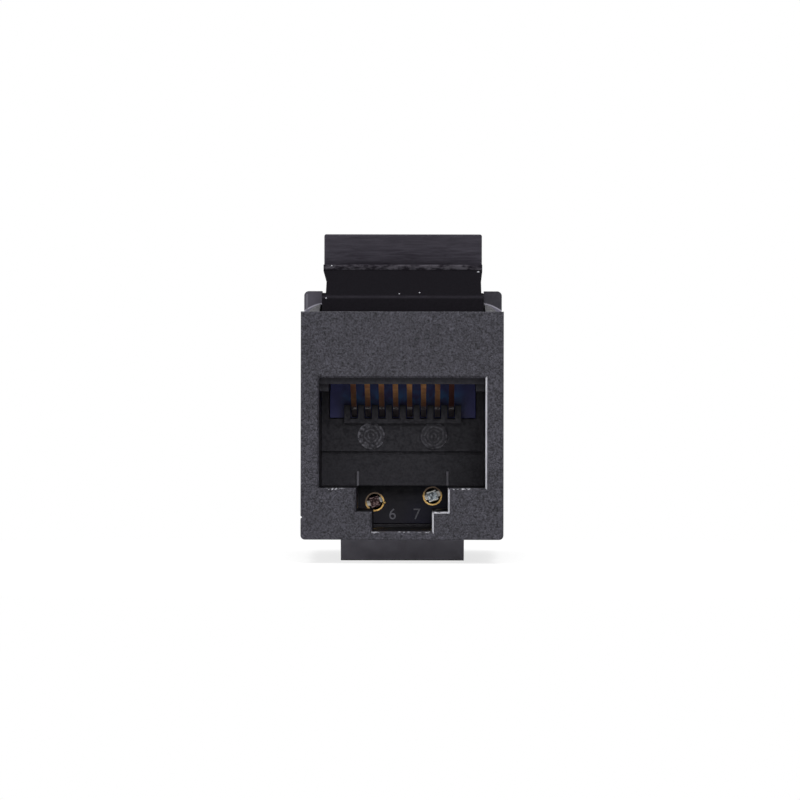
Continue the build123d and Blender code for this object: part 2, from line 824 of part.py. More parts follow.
# Terminal block: plate behind the board, skirt round it, clips forward into the collar and
# a slotted tower round each blade
with BuildPart() as idc_block:
    with BuildSketch(across(collar_back_y)) as skirt:
        rectangle_between(-block_width / 2, block_floor_z, block_width / 2, block_top_z)
        fillet(skirt.vertices(), body_floor_radius)
        rectangle_between(
            -board_width / 2 - skirt_gap,
            board_floor_z - carrier_gap,
            board_width / 2 + skirt_gap,
            board_top_z + carrier_gap,
            Mode.SUBTRACT,
        )
    extrude(amount=collar_back_y - board_back_y)
    with BuildSketch(across(board_back_y)) as plate:
        rectangle_between(-block_width / 2, block_floor_z, block_width / 2, block_top_z)
        fillet(plate.vertices(), body_floor_radius)
    extrude(amount=-block_plate)
    cut_block(
        -well_width / 2 - latch_relief_gap,
        well_width / 2 + latch_relief_gap,
        board_top_z + carrier_gap,
        block_top_z + overshoot,
        collar_back_y,
        collar_back_y + latch_relief_depth,
    )

    # Towers with pointed tips
    with BuildSketch(across(plate_back_y)) as towers:
        with Locations(*idc_places):
            Rectangle(tower_width, tower_height)
    extrude(amount=tower_tip - tower_length)
    for place in idc_places:
        with BuildSketch(across(tower_back_y - tower_tip)):
            with Locations(place):
                Rectangle(tower_width, tower_height)
        extrude(amount=-tower_tip, taper=tower_taper)

    # Each tower has a slot for the conductor and a turned slot for the blade
    with BuildSketch(across(tower_back_y)) as conductors:
        with Locations(*idc_places):
            Rectangle(wire_slot, tower_height + overshoot)
    extrude(amount=wire_slot_depth, mode=Mode.SUBTRACT)
    with BuildSketch(across(tower_back_y)) as blade_slots:
        with Locations(*idc_places):
            Rectangle(
                blade_width + 2 * blade_gap,
                blade_thickness + 2 * blade_gap,
                rotation=idc_angle,
            )
    extrude(amount=tower_back_y - blade_front_y + blade_gap, mode=Mode.SUBTRACT)
    with BuildSketch(across(pin_back_y + blade_gap)) as pin_holes:
        with Locations(*idc_places):
            Rectangle(blade_width, blade_width, rotation=idc_angle)
    extrude(amount=pin_back_y + blade_gap - board_back_y, mode=Mode.SUBTRACT)

    # Hollow in the plate for the tails of the contacts
    cut_block(
        -rib_half,
        rib_half,
        lead_z - contact_row_step - contact_hole_radius - tail_room,
        lead_z + contact_row_step + contact_hole_radius + tail_room,
        board_back_y,
        board_back_y + tail_length + tail_room,
    )

    # Clips that reach through the notches of the board into the collar
    for clip_z in (clip_low_z, clip_high_z):
        for side in (-1, 1):
            with BuildSketch(Plane.XY.offset(clip_z)) as clip:
                tip_y = wall_back_y + clip_tip_gap
                with BuildLine():
                    Polyline(
                        (side * clip_x, board_back_y + block_plate / 2),
                        (side * clip_x, tip_y),
                        (side * (clip_x + clip_thickness), tip_y),
                        (side * (clip_x + clip_thickness + clip_barb), tip_y + clip_barb_length / 2),
                        (side * (clip_x + clip_thickness + clip_barb), tip_y + clip_barb_length),
                        (side * (clip_x + clip_thickness), tip_y + clip_barb_length),
                        (side * (clip_x + clip_thickness), board_back_y + block_plate / 2),
                        close=True,
                    )
                make_face()
            extrude(amount=clip_height / 2, both=True)

idc_block.part.label = "idc_block"
export_step(idc_block.part, "parts/idc_block.step")


# Wire cap: a hood over the towers with a pusher for each conductor and a round cable entry
with BuildPart() as wire_cap:
    cap_centre_z = (block_floor_z + block_top_z) / 2
    cap_height = block_top_z - block_floor_z
    with BuildSketch(across(cap_front_y)) as hood:
        with Locations((0, cap_centre_z)):
            RectangleRounded(cap_width, cap_height, cap_corner_radius)
    extrude(amount=-cap_length)
    with BuildSketch(across(cap_front_y)) as room:
        with Locations((0, cap_centre_z)):
            RectangleRounded(
                cap_width - 2 * cap_wall, cap_height - 2 * cap_wall, cap_corner_radius - cap_wall
            )
    extrude(amount=cap_back - cap_length, mode=Mode.SUBTRACT)

    # Grip grooves down both sides
    for i in range(grip_count):
        groove_y = (cap_front_y + cap_back_y - cap_back) / 2 + (i - (grip_count - 1) / 2) * grip_pitch
        for side in (-1, 1):
            x_inner = side * (cap_width / 2 - grip_depth)
            x_outer = side * (cap_width / 2 + overshoot)
            cut_block(
                min(x_inner, x_outer),
                max(x_inner, x_outer),
                cap_centre_z - grip_height / 2,
                cap_centre_z + grip_height / 2,
                groove_y - grip_width / 2,
                groove_y + grip_width / 2,
            )

    # Pushers, each forked where it passes its blade
    pusher_y = tower_back_y - wire_slot_depth + pusher_clear + cap_gap
    with BuildSketch(across(pusher_y)) as pushers:
        with Locations(*idc_places):
            Rectangle(wire_slot - 2 * pusher_gap, tower_height - 2 * pusher_gap)
    extrude(amount=pusher_y - cap_back_y + cap_back / 2)
    with BuildSketch(across(pusher_y)) as blade_room:
        with Locations(*idc_places):
            Rectangle(
                blade_width + 2 * blade_gap,
                blade_thickness + 2 * blade_gap,
                rotation=idc_angle,
            )
    extrude(amount=pusher_y - blade_back_y - pusher_clear, mode=Mode.SUBTRACT)

    # Cable entry
    with BuildSketch(across(cap_back_y - cap_back)) as collar_ring:
        with Locations((0, cap_centre_z)):
            Circle(cable_radius + entry_wall)
    extrude(amount=-cap_back - entry_length)
    with BuildSketch(across(cap_back_y - cap_back)) as bore:
        with Locations((0, cap_centre_z)):
            Circle(cable_radius)
    extrude(amount=-cap_back - entry_length, mode=Mode.SUBTRACT)

wire_cap.part.label = "wire_cap"
export_step(wire_cap.part, "parts/wire_cap.step")
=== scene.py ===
import math
import random

import bmesh
import bpy
from mathutils import Matrix, Vector


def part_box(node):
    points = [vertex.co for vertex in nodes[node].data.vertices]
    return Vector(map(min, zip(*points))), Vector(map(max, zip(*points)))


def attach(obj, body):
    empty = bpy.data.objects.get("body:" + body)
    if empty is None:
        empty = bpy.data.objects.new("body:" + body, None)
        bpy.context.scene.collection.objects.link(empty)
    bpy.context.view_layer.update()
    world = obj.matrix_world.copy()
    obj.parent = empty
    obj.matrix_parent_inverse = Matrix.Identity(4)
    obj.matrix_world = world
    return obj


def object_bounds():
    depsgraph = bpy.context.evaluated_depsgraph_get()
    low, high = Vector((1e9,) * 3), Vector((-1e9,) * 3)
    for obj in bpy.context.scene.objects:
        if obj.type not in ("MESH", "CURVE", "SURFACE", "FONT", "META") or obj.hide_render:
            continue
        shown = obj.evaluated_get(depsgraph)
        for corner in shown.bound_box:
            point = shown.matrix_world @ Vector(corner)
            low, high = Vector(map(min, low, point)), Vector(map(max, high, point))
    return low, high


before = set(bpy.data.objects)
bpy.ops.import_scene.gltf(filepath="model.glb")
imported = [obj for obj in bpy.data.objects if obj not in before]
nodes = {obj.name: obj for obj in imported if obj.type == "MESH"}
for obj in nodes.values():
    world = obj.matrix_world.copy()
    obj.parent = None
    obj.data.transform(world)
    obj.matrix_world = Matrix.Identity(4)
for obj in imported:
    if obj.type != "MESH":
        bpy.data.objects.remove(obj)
cad_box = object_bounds()
random.seed(7)

# Lengths are in metres: MM turns a size in millimetres into metres. The frame's origin is the
# centre of the front face, +Y runs into the socket and +Z is up.
MM = 0.001

# Corners of the boxes of the nodes that the looks are placed by
housing_low, housing_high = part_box("front_housing")
latch_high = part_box("release_latch")[1]
board_low, board_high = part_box("circuit_board")

CONTACTS = [name for name in nodes if name.startswith("contact_") and name != "contact_carrier"]
BLADES = [name for name in nodes if name.startswith("idc_") and name != "idc_block"]

# Camera, set so that one pixel of an 800 pixel image is 0.0714 mm at the front face
CAMERA_DISTANCE = 330 * MM
CAMERA_AIM_X = -0.155 * MM
CAMERA_Z = 1.833 * MM
CAMERA_TURN = math.radians(0.3)
CAMERA_ROLL = math.radians(0.1)
VIEW_WIDTH = 57.11 * MM
SENSOR_WIDTH = 36.0
CLIP_START = 0.01
CLIP_END = 20

# Width of the soft change at the edge of a mark
SOFT = 0.1 * MM

# Shares of a surface's direction along an axis from which it counts as a floor, as looking to the
# front, or as a side or chamfer of the opening
FLOOR_SHARE = 0.8
FRONT_SHARE = 0.7
CHAMFER_SHARE = 0.5

# Front face: depth of its grained skin, and depth to which the edges of the opening get painted
# highlights
SKIN_DEPTH = 0.25 * MM
HIGHLIGHT_DEPTH = 0.3 * MM

# Collar above the face: height from which its front has painted light, lowest and highest point of
# its painted highlights, its left edge, and the width over which the painted light fades to the
# right
COLLAR_PALE_Z = housing_high[2] - 2.0 * MM
COLLAR_MARK_LOW_Z = housing_high[2] - 1.65 * MM
COLLAR_MARK_HIGH_Z = housing_high[2] - 0.2 * MM
COLLAR_EDGE_X = housing_low[0] + 0.2 * MM
COLLAR_FADE = 12 * MM

# Top of the hook under the face
HOOK_TOP_Z = housing_low[2] + 1.68 * MM

# Painted highlight of the rounded shoulders that show against the collar beside the latch: place
# and height of their crest, and how far it falls at that reach to each side
SHOULDER_X = 5.7 * MM
SHOULDER_Z = 8.95 * MM
SHOULDER_DROP = 0.33 * MM
SHOULDER_REACH = 1.2 * MM

# Wall at the back of the port: its two round pads, and two guide ribs that get painted highlights
PAD_X = 2.3 * MM
PAD_Y = 9.53 * MM
PAD_Z = -0.8 * MM
PAD_RADIUS = 1.0 * MM
PAD_RING_STEP = 0.26 * MM
RIB_X = 3.285 * MM
BACK_WALL_ZONE = 0.5 * MM

# Contacts: top of the comb's shelf between them, and where the last one starts, which gets painted
# shade
COMB_TOP_Z = 1.35 * MM
LAST_WIRE_X = 3.3 * MM

# Depth to which the tails of the blades keep their tin tone in their holes; deeper they get
# painted shade
TAIL_SHOWN_Y = 12.45 * MM

# Holes of the board that the keyway shows, as (x, z)
LEFT_HOLE = (-2.075 * MM, -5.71 * MM)
RIGHT_HOLE = (2.195 * MM, -5.27 * MM)

# Latch: height from which the tab has a painted highlight, foot of its visible face with painted
# shade below, underside of the crest and top of the riser, which have painted highlights, then tab
# and nose depths
LATCH_CROWN_Z = latch_high[2] - 1.03 * MM
LATCH_FOOT_Z = latch_high[2] - 2.03 * MM
LATCH_CREST_Z = latch_high[2] - 2.68 * MM
LATCH_NOSE_Z = latch_high[2] - 4.77 * MM
LATCH_TAB_Y = 10.0 * MM
LATCH_NOSE_Y = 3.4 * MM

# Blue carrier: the cloudy sheen between the contacts
SHEEN_Z = 2.0 * MM
SHEEN_HALF_HEIGHT = 1.1 * MM
SHEEN_HALF_WIDTH = 4.3 * MM

# Numbers on the board, as (text, x of its left side)
NUMBERS = [("6", -1.05 * MM), ("7", 0.75 * MM)]
NUMBER_SIZE = 1.16 * MM
NUMBER_Z = -7.0 * MM
INK_DEPTH = 0.012 * MM

# Small nibs on the latch, pale as painted glints, as (place, radius)
NIBS = [
    ((-5.2 * MM, 7.6 * MM, 11.62 * MM), 0.07 * MM),
    ((5.5 * MM, 7.32 * MM, 11.18 * MM), 0.08 * MM),
    ((-0.24 * MM, 2.95 * MM, 9.48 * MM), 0.06 * MM),
    ((1.22 * MM, 3.17 * MM, 9.56 * MM), 0.06 * MM),
    ((-5.5 * MM, 2.8 * MM, 9.16 * MM), 0.07 * MM),
]

# Drop of gold at the side of the left ring
DROP_PLACE = (-1.37 * MM, 12.33 * MM, -5.77 * MM)
DROP_RADIUS = 0.13 * MM

# Floor, just below the socket, and its soft shadow
FLOOR_Z = cad_box[0][2] - 0.01 * MM
FLOOR_HALF_SIDE = 3.0
SHADOW_SHARE = 0.25
SHADOW_REACH = 0.06

# Light of the world on the socket, and the lamps, as (name, place, size, power)
WORLD_LEVEL = 0.45
LAMPS = [
    ("overhead", (0.0, -0.10, 0.60), 0.45, 4.5),
    ("left_side", (-0.55, -0.03, 0.10), 0.30, 2.5),
    ("front_fill", (0.12, -0.60, 0.30), 0.40, 2.5),
]

# Colours given in linear light
WHITE = (1, 1, 1, 1)
FLOOR_GREY = (0.88, 0.88, 0.88, 1)
COOL_TINT = (0.93, 0.92, 1.0, 1)


def linear(*levels):
    """Linear colour of red, green and blue levels from 0 to 255."""
    return tuple((level / 255) ** 2.2 for level in levels) + (1.0,)


class Finish:
    """A material and short calls that add the nodes of its pattern."""

    def __init__(self, name, colour, roughness, metallic=0.0, specular=0.5):
        self.material = bpy.data.materials.new(name)
        self.material.use_nodes = True
        self.material.diffuse_color = colour
        self.nodes = self.material.node_tree.nodes
        self.links = self.material.node_tree.links
        self.shader = self.nodes["Principled BSDF"]
        self.shader.inputs["Base Color"].default_value = colour
        self.shader.inputs["Roughness"].default_value = roughness
        self.shader.inputs["Metallic"].default_value = metallic
        self.shader.inputs["Specular IOR Level"].default_value = specular
        self.place = self.nodes.new("ShaderNodeTexCoord").outputs["Object"]

    def put(self, socket, value):
        """Link an output into a socket, or write a plain value there."""
        if isinstance(value, bpy.types.NodeSocket):
            self.links.new(value, socket)
        else:
            socket.default_value = value

    def colour(self, value):
        """Set the base colour."""
        self.put(self.shader.inputs["Base Color"], value)

    def gloss(self, value):
        """Set the roughness."""
        self.put(self.shader.inputs["Roughness"], value)

    def normal(self, value):
        """Set the normal."""
        self.put(self.shader.inputs["Normal"], value)

    def stretched(self, stretch, turn=(0, 0, 0)):
        """Coordinates stretched along each axis, for brushed and scratched patterns."""
        mapping = self.nodes.new("ShaderNodeMapping")
        mapping.inputs["Scale"].default_value = stretch
        mapping.inputs["Rotation"].default_value = turn
        self.links.new(self.place, mapping.inputs["Vector"])
        return mapping.outputs["Vector"]

    def noise(self, size, detail=2.0, roughness=0.5, distortion=0.0, place=None):
        """Noise whose features are about that size."""
        noise = self.nodes.new("ShaderNodeTexNoise")
        noise.inputs["Scale"].default_value = 1 / size
        noise.inputs["Detail"].default_value = detail
        noise.inputs["Roughness"].default_value = roughness
        noise.inputs["Distortion"].default_value = distortion
        self.links.new(place or self.place, noise.inputs["Vector"])
        return noise.outputs["Fac"]

    def ramp(self, factor, low, high):
        """Grey along a factor, between two (position, level) stops."""
        ramp = self.nodes.new("ShaderNodeValToRGB")
        for element, (position, level) in zip(ramp.color_ramp.elements, (low, high)):
            element.position = position
            element.color = (level, level, level, 1)
        self.links.new(factor, ramp.inputs["Fac"])
        return ramp.outputs["Color"]

    def contrast(self, factor, low, high):
        """0 up to a low value of the factor and 1 from a high one."""
        return self.ramp(factor, (low, 0.0), (high, 1.0))

    def mix(self, factor, first, second, mode="MIX"):
        """Blend of two colours."""
        mix = self.nodes.new("ShaderNodeMix")
        mix.data_type = "RGBA"
        mix.blend_type = mode
        self.put(mix.inputs[0], factor)
        self.put(mix.inputs[6], first)
        self.put(mix.inputs[7], second)
        return mix.outputs[2]

    def overlay(self, tone, *layers):
        """Tone with others laid over it in turn, each as (share, tone)."""
        for share, over in layers:
            tone = self.mix(share, tone, over)
        return tone

    def shaded(self, tone, cloud, low, high):
        """Tone made darker and lighter by a cloudy noise, between two levels."""
        return self.mix(1.0, tone, self.ramp(cloud, (0.3, low), (0.7, high)), "MULTIPLY")

    def maths(self, operation, first, second=0.0, clamp=False):
        """One sum on numbers or outputs."""
        sum_node = self.nodes.new("ShaderNodeMath")
        sum_node.operation = operation
        sum_node.use_clamp = clamp
        self.put(sum_node.inputs[0], first)
        self.put(sum_node.inputs[1], second)
        return sum_node.outputs[0]

    def product(self, first, *others):
        """All the values multiplied."""
        for other in others:
            first = self.maths("MULTIPLY", first, other)
        return first

    def plus(self, first, second, clamp=False):
        """Sum of two values."""
        return self.maths("ADD", first, second, clamp)

    def minus(self, first, second, clamp=False):
        """Difference of two values."""
        return self.maths("SUBTRACT", first, second, clamp)

    def inverse(self, value, clamp=False):
        """1 minus a value."""
        return self.minus(1.0, value, clamp)

    def largest(self, first, second):
        """The larger of two values."""
        return self.maths("MAXIMUM", first, second)

    def absolute(self, value):
        """Value without its sign."""
        return self.maths("ABSOLUTE", value)

    def over(self, value, edge):
        """1 where a value is over an edge."""
        return self.maths("GREATER_THAN", value, edge)

    def under(self, value, edge):
        """1 where a value is under an edge."""
        return self.maths("LESS_THAN", value, edge)

    def band(self, value, middle, half_width):
        """1 where a value is at a middle, fading to 0 at the half width."""
        share = self.maths("DIVIDE", self.absolute(self.minus(value, middle)), half_width)
        return self.inverse(share, clamp=True)

    def step(self, value, edge, width):
        """0 below an edge and 1 above it, with a soft change of that width."""
        ramp = self.nodes.new("ShaderNodeMapRange")
        ramp.interpolation_type = "SMOOTHSTEP"
        ramp.inputs["From Min"].default_value = edge - width / 2
        ramp.inputs["From Max"].default_value = edge + width / 2
        self.links.new(value, ramp.inputs["Value"])
        return ramp.outputs["Result"]

    def axis(self, name):
        """One of the three coordinates of the frame."""
        split = self.nodes.new("ShaderNodeSeparateXYZ")
        self.links.new(self.place, split.inputs[0])
        return split.outputs[name]

    def true_normal(self):
        """Direction of the surface, without its relief."""
        return self.nodes.new("ShaderNodeNewGeometry").outputs["True Normal"]

    def facing(self, name):
        """Share of the surface's direction along an axis."""
        split = self.nodes.new("ShaderNodeSeparateXYZ")
        self.links.new(self.true_normal(), split.inputs[0])
        return split.outputs[name]

    def soft_edges(self, radius):
        """Normal that rounds the sharp edges of the mesh in the light."""
        bevel = self.nodes.new("ShaderNodeBevel")
        bevel.samples = 4
        bevel.inputs["Radius"].default_value = radius
        return bevel.outputs["Normal"]

    def bump(self, height, depth, normal=None, strength=1.0):
        """Relief of that depth, on top of an earlier normal."""
        bump = self.nodes.new("ShaderNodeBump")
        bump.inputs["Strength"].default_value = strength
        bump.inputs["Distance"].default_value = depth
        self.links.new(height, bump.inputs["Height"])
        if normal is not None:
            self.links.new(normal, bump.inputs["Normal"])
        return bump.outputs["Normal"]


def housing_plastic():
    """Black plastic: spark-eroded grain on the face, smoother walls inside, some painted light and
    shade.
    """
    finish = Finish("housing_black", linear(30, 29, 33), 0.5, specular=0.27)
    finish.shader.inputs["Specular Tint"].default_value = COOL_TINT
    fine = finish.noise(0.14 * MM, detail=3.0, roughness=0.7)
    pits = finish.noise(0.3 * MM, detail=3.0, roughness=0.65, distortion=1.0)
    rough = finish.mix(0.5, finish.contrast(fine, 0.4, 0.6), finish.contrast(pits, 0.35, 0.65))
    face = finish.mix(rough, linear(2, 2, 3), linear(60, 59, 66))
    inside = finish.step(finish.axis("Y"), SKIN_DEPTH, 2 * SOFT)
    tone = finish.overlay(
        finish.mix(inside, face, wall_tone(finish, fine)),
        (pad_marks(finish), linear(104, 103, 110)),
        # Painted highlight on the two guide ribs
        (rib_highlights(finish), linear(92, 91, 97)),
        # Painted highlights along the edges of the opening
        (edge_highlights(finish, pits), linear(152, 152, 158)),
    )
    finish.colour(finish.shaded(tone, finish.noise(1.4 * MM), 0.82, 1.15))
    finish.gloss(finish.ramp(rough, (0.2, 0.66), (0.8, 0.4)))
    flow = finish.noise(0.3 * MM, detail=3.0, place=finish.stretched((0.15, 1, 1)))
    edges = finish.soft_edges(0.05 * MM)
    smooth = finish.bump(flow, 0.008 * MM, edges, 0.5)
    grain = finish.bump(rough, 0.05 * MM, edges)
    finish.normal(finish.mix(inside, grain, smooth))
    return finish.material


def wall_tone(finish, fine):
    """Tone behind the face: walls, painted shade on port floors, painted light on collar,
    shoulders, hook.
    """
    shoulder_highlight, shoulder_highlight_line = shoulder_painted_light(finish)
    return finish.overlay(
        finish.mix(fine, linear(23, 22, 26), linear(33, 32, 37)),
        # Painted shade on the port floors
        (port_floor_shade(finish), linear(15, 14, 17)),
        # Painted light on the front of the collar
        (collar_painted_light(finish), linear(60, 58, 65)),
        # Painted highlight of the shoulders and of their edge line
        (shoulder_highlight, linear(84, 82, 92)),
        (shoulder_highlight_line, linear(140, 138, 148)),
        # Painted highlight on the left edge of the collar
        (collar_edge_highlight(finish), linear(86, 84, 91)),
        # Painted light on the front of the hook
        (hook_painted_light(finish), linear(92, 90, 97)),
    )


def port_floor_shade(finish):
    """1 on the floors of the port and the keyway, which get a dark painted shade."""
    return finish.product(
        finish.over(finish.facing("Z"), FLOOR_SHARE),
        finish.under(finish.axis("Z"), PAD_Z),
    )


def looks_ahead(finish):
    """1 where the surface looks to the front."""
    return finish.under(finish.facing("Y"), -FRONT_SHARE)


def collar_painted_light(finish):
    """1 on the collar above the face, which gets painted light, most of all on the left."""
    to_right = finish.step(finish.axis("X"), 0.0, COLLAR_FADE)
    return finish.product(
        looks_ahead(finish),
        finish.over(finish.axis("Z"), COLLAR_PALE_Z),
        finish.inverse(finish.product(to_right, 0.8)),
    )


def shoulder_painted_light(finish):
    """Share of the painted highlight of the rounded shoulders on the collar, and of its paler edge
    line.
    """
    aside = finish.minus(finish.absolute(finish.axis("X")), SHOULDER_X)
    share = finish.maths("DIVIDE", aside, SHOULDER_REACH)
    fall = finish.product(share, share, SHOULDER_DROP)
    below = finish.minus(SHOULDER_Z, finish.plus(finish.axis("Z"), fall))
    top = finish.product(looks_ahead(finish), finish.over(finish.axis("Z"), COLLAR_MARK_LOW_Z))
    body = finish.product(finish.step(below, 0.0, 0.06 * MM), top)
    line = finish.product(finish.band(below, 0.02 * MM, 0.08 * MM), top)
    return body, line


def collar_edge_highlight(finish):
    """1 on the painted highlight along the left edge of the collar."""
    height = finish.axis("Z")
    return finish.product(
        looks_ahead(finish),
        finish.band(finish.axis("X"), COLLAR_EDGE_X, 0.1 * MM),
        finish.over(height, COLLAR_MARK_LOW_Z),
        finish.under(height, COLLAR_MARK_HIGH_Z),
    )


def hook_painted_light(finish):
    """1 on the front of the hook under the face, which gets painted light."""
    return finish.product(looks_ahead(finish), finish.under(finish.axis("Z"), HOOK_TOP_Z))


def at_back_wall(finish):
    """1 on the wall at the back of the port, and just ahead of it."""
    return finish.step(finish.axis("Y"), PAD_Y - BACK_WALL_ZONE, SOFT)


def rib_highlights(finish):
    """1 on the painted highlights of the two guide ribs at the foot of the wall at the back of the
    port.
    """
    aside = finish.minus(finish.absolute(finish.axis("X")), RIB_X)
    return finish.product(
        finish.under(finish.absolute(aside), 0.1 * MM),
        finish.under(finish.axis("Y"), PAD_Y - 0.1 * MM),
        at_back_wall(finish),
    )


def pad_marks(finish):
    """Scuffed arcs and rims on the two round pads of the wall at the back of the port."""
    from_x = finish.minus(finish.absolute(finish.axis("X")), PAD_X)
    from_z = finish.minus(finish.axis("Z"), PAD_Z)
    square = finish.plus(finish.product(from_x, from_x), finish.product(from_z, from_z))
    radius = finish.maths("SQRT", square)
    on_pad = finish.inverse(finish.step(radius, PAD_RADIUS, 0.05 * MM))
    wobble = finish.product(finish.noise(0.6 * MM, detail=3.0), 1.6)
    turns = finish.plus(finish.product(radius, 1 / PAD_RING_STEP), wobble)
    rings = finish.ramp(finish.maths("PINGPONG", turns, 0.5), (0.1, 0.1), (0.44, 1.0))
    broken = finish.contrast(finish.noise(0.3 * MM, detail=4.0, roughness=0.7), 0.38, 0.64)
    to_left = finish.inverse(finish.step(finish.axis("X"), -PAD_X, 1.6 * MM))
    at_rim = finish.step(radius, PAD_RADIUS * 0.78, 0.3 * MM)
    rim = finish.product(at_rim, broken, finish.plus(0.25, to_left))
    lines = finish.plus(finish.product(rings, broken, 0.75), rim, clamp=True)
    right_pad = finish.over(finish.axis("X"), 0.0)
    fainter = finish.inverse(finish.product(right_pad, 0.4))
    return finish.product(lines, fainter, on_pad, at_back_wall(finish))


def edge_highlights(finish, patchy):
    """Painted highlights on the opening's edges: all along its right-hand sides, in specks along
    its floors.
    """
    across = finish.axis("X")
    height = finish.axis("Z")
    front = finish.product(
        finish.under(finish.facing("Y"), -CHAMFER_SHARE),
        finish.under(finish.axis("Y"), HIGHLIGHT_DEPTH),
    )
    sides = finish.product(
        finish.under(finish.facing("X"), -CHAMFER_SHARE),
        finish.over(across, 0.0),
    )
    clusters = finish.contrast(finish.noise(1.3 * MM), 0.5, 0.56)
    specks = finish.product(finish.contrast(patchy, 0.5, 0.6), clusters)
    keyway = finish.product(
        finish.under(height, RIGHT_HOLE[1]),
        finish.over(across, RIGHT_HOLE[0]),
        finish.contrast(patchy, 0.4, 0.5),
    )
    floors = finish.product(
        finish.over(finish.facing("Z"), CHAMFER_SHARE),
        finish.under(height, 0.0),
        finish.largest(specks, keyway),
    )
    return finish.product(front, finish.largest(sides, floors))


def rear_plastic():
    """Finely grained black of block and cap, rubbed at the edges, with painted shade ahead of the
    board.
    """
    finish = Finish("rear_black", linear(30, 30, 33), 0.42, specular=0.3)
    cloud = finish.noise(1.6 * MM, detail=3.0)
    grain = finish.contrast(finish.noise(0.13 * MM, detail=3.0, roughness=0.7), 0.4, 0.62)
    behind_board = finish.step(finish.axis("Y"), board_low[1], 2 * SOFT)
    tone = finish.mix(grain, linear(19, 19, 22), linear(44, 43, 48))
    # Painted shade on the block ahead of the board
    tone = finish.mix(behind_board, linear(20, 18, 26), tone)
    tone = finish.mix(edge_wear(finish, 0.16 * MM), tone, linear(86, 85, 91))
    finish.colour(finish.shaded(tone, cloud, 0.85, 1.12))
    finish.gloss(finish.ramp(cloud, (0.3, 0.38), (0.7, 0.52)))
    shallow = finish.bump(cloud, 0.02 * MM, finish.soft_edges(0.08 * MM), 0.3)
    finish.normal(finish.bump(grain, 0.02 * MM, shallow))
    return finish.material


def edge_wear(finish, radius):
    """Share of rubbing along sharp edges, in patches."""
    product = finish.nodes.new("ShaderNodeVectorMath")
    product.operation = "DOT_PRODUCT"
    finish.links.new(finish.soft_edges(radius), product.inputs[0])
    finish.links.new(finish.true_normal(), product.inputs[1])
    turned = finish.inverse(product.outputs["Value"], clamp=True)
    spread = finish.noise(0.5 * MM, detail=4.0, roughness=0.65)
    patches = finish.ramp(spread, (0.42, 0.15), (0.62, 0.8))
    return finish.product(finish.contrast(turned, 0.04, 0.2), patches)


def latch_plastic():
    """Smooth black on ramp and riser, a greyer, scratched thumb tab, painted highlights on crest
    and riser.

    It has no mirror reflection, which would show the white background at grazing angles.
    """
    finish = Finish("latch_black", linear(26, 25, 28), 0.42, specular=0.0)
    lengthwise = finish.stretched((0.1, 1, 1), (0, math.radians(3), 0))
    streaks = finish.noise(0.2 * MM, detail=4.0, roughness=0.62, distortion=0.7, place=lengthwise)
    fine = finish.noise(0.12 * MM)
    chips = finish.noise(0.3 * MM, detail=4.0, roughness=0.7, place=finish.stretched((0.4, 1, 1)))
    height = finish.axis("Z")
    tab = finish.step(finish.axis("Y"), LATCH_TAB_Y, SOFT)
    arm = finish.inverse(tab)
    # Painted highlights on the crest and along the top of the riser
    crest = finish.product(finish.step(height, LATCH_CREST_Z, 0.14 * MM), arm)
    nose = finish.product(
        finish.band(height, LATCH_NOSE_Z, 0.16 * MM),
        arm,
        finish.under(finish.axis("Y"), LATCH_NOSE_Y),
        chips,
    )
    smooth = finish.mix(fine, linear(21, 20, 22), linear(29, 28, 31))
    crest_highlight_tone = finish.mix(finish.contrast(chips, 0.42, 0.6), linear(30, 28, 32), linear(64, 62, 67))
    tone = finish.mix(tab, smooth, tab_tone(finish, streaks))
    finish.colour(finish.overlay(tone, (crest, crest_highlight_tone), (nose, linear(48, 46, 51))))
    finish.gloss(finish.ramp(streaks, (0.35, 0.5), (0.65, 0.64)))
    relief = finish.bump(streaks, 0.014 * MM, finish.soft_edges(0.06 * MM), 0.8)
    finish.normal(finish.bump(fine, 0.004 * MM, relief))
    return finish.material


def tab_tone(finish, streaks):
    """Scratched tone of the thumb tab, with painted shade at its foot and a painted highlight at
    its crown.
    """
    height = finish.axis("Z")
    lined = finish.contrast(streaks, 0.3, 0.7)
    face = finish.mix(lined, linear(42, 40, 45), linear(58, 56, 62))
    shadowed = finish.mix(lined, linear(32, 30, 35), linear(46, 44, 49))
    face = finish.mix(finish.step(height, LATCH_FOOT_Z, 0.5 * MM), shadowed, face)
    # Painted highlight at the crown, over the painted shade at the foot
    crown = finish.product(finish.step(height, LATCH_CROWN_Z, 1.0 * MM), 0.3)
    return finish.mix(crown, face, linear(56, 54, 59))


def carrier_plastic():
    """Blue moulded insert, a little cloudy, with a paler sheen between the contacts."""
    finish = Finish("carrier_blue", linear(38, 44, 96), 0.4, specular=0.2)
    cloud = finish.noise(0.9 * MM, detail=3.0)
    fine = finish.noise(0.14 * MM)
    aside = finish.step(finish.absolute(finish.axis("X")), SHEEN_HALF_WIDTH, 1.2 * MM)
    sheen = finish.product(
        finish.band(finish.axis("Z"), SHEEN_Z, SHEEN_HALF_HEIGHT),
        finish.inverse(aside),
        finish.contrast(cloud, 0.4, 0.6),
    )
    tone = finish.mix(cloud, linear(40, 42, 82), linear(53, 54, 106))
    finish.colour(finish.mix(sheen, tone, linear(44, 84, 132)))
    finish.gloss(finish.ramp(fine, (0.3, 0.34), (0.7, 0.48)))
    finish.normal(finish.bump(fine, 0.006 * MM, finish.soft_edges(0.05 * MM)))
    return finish.material


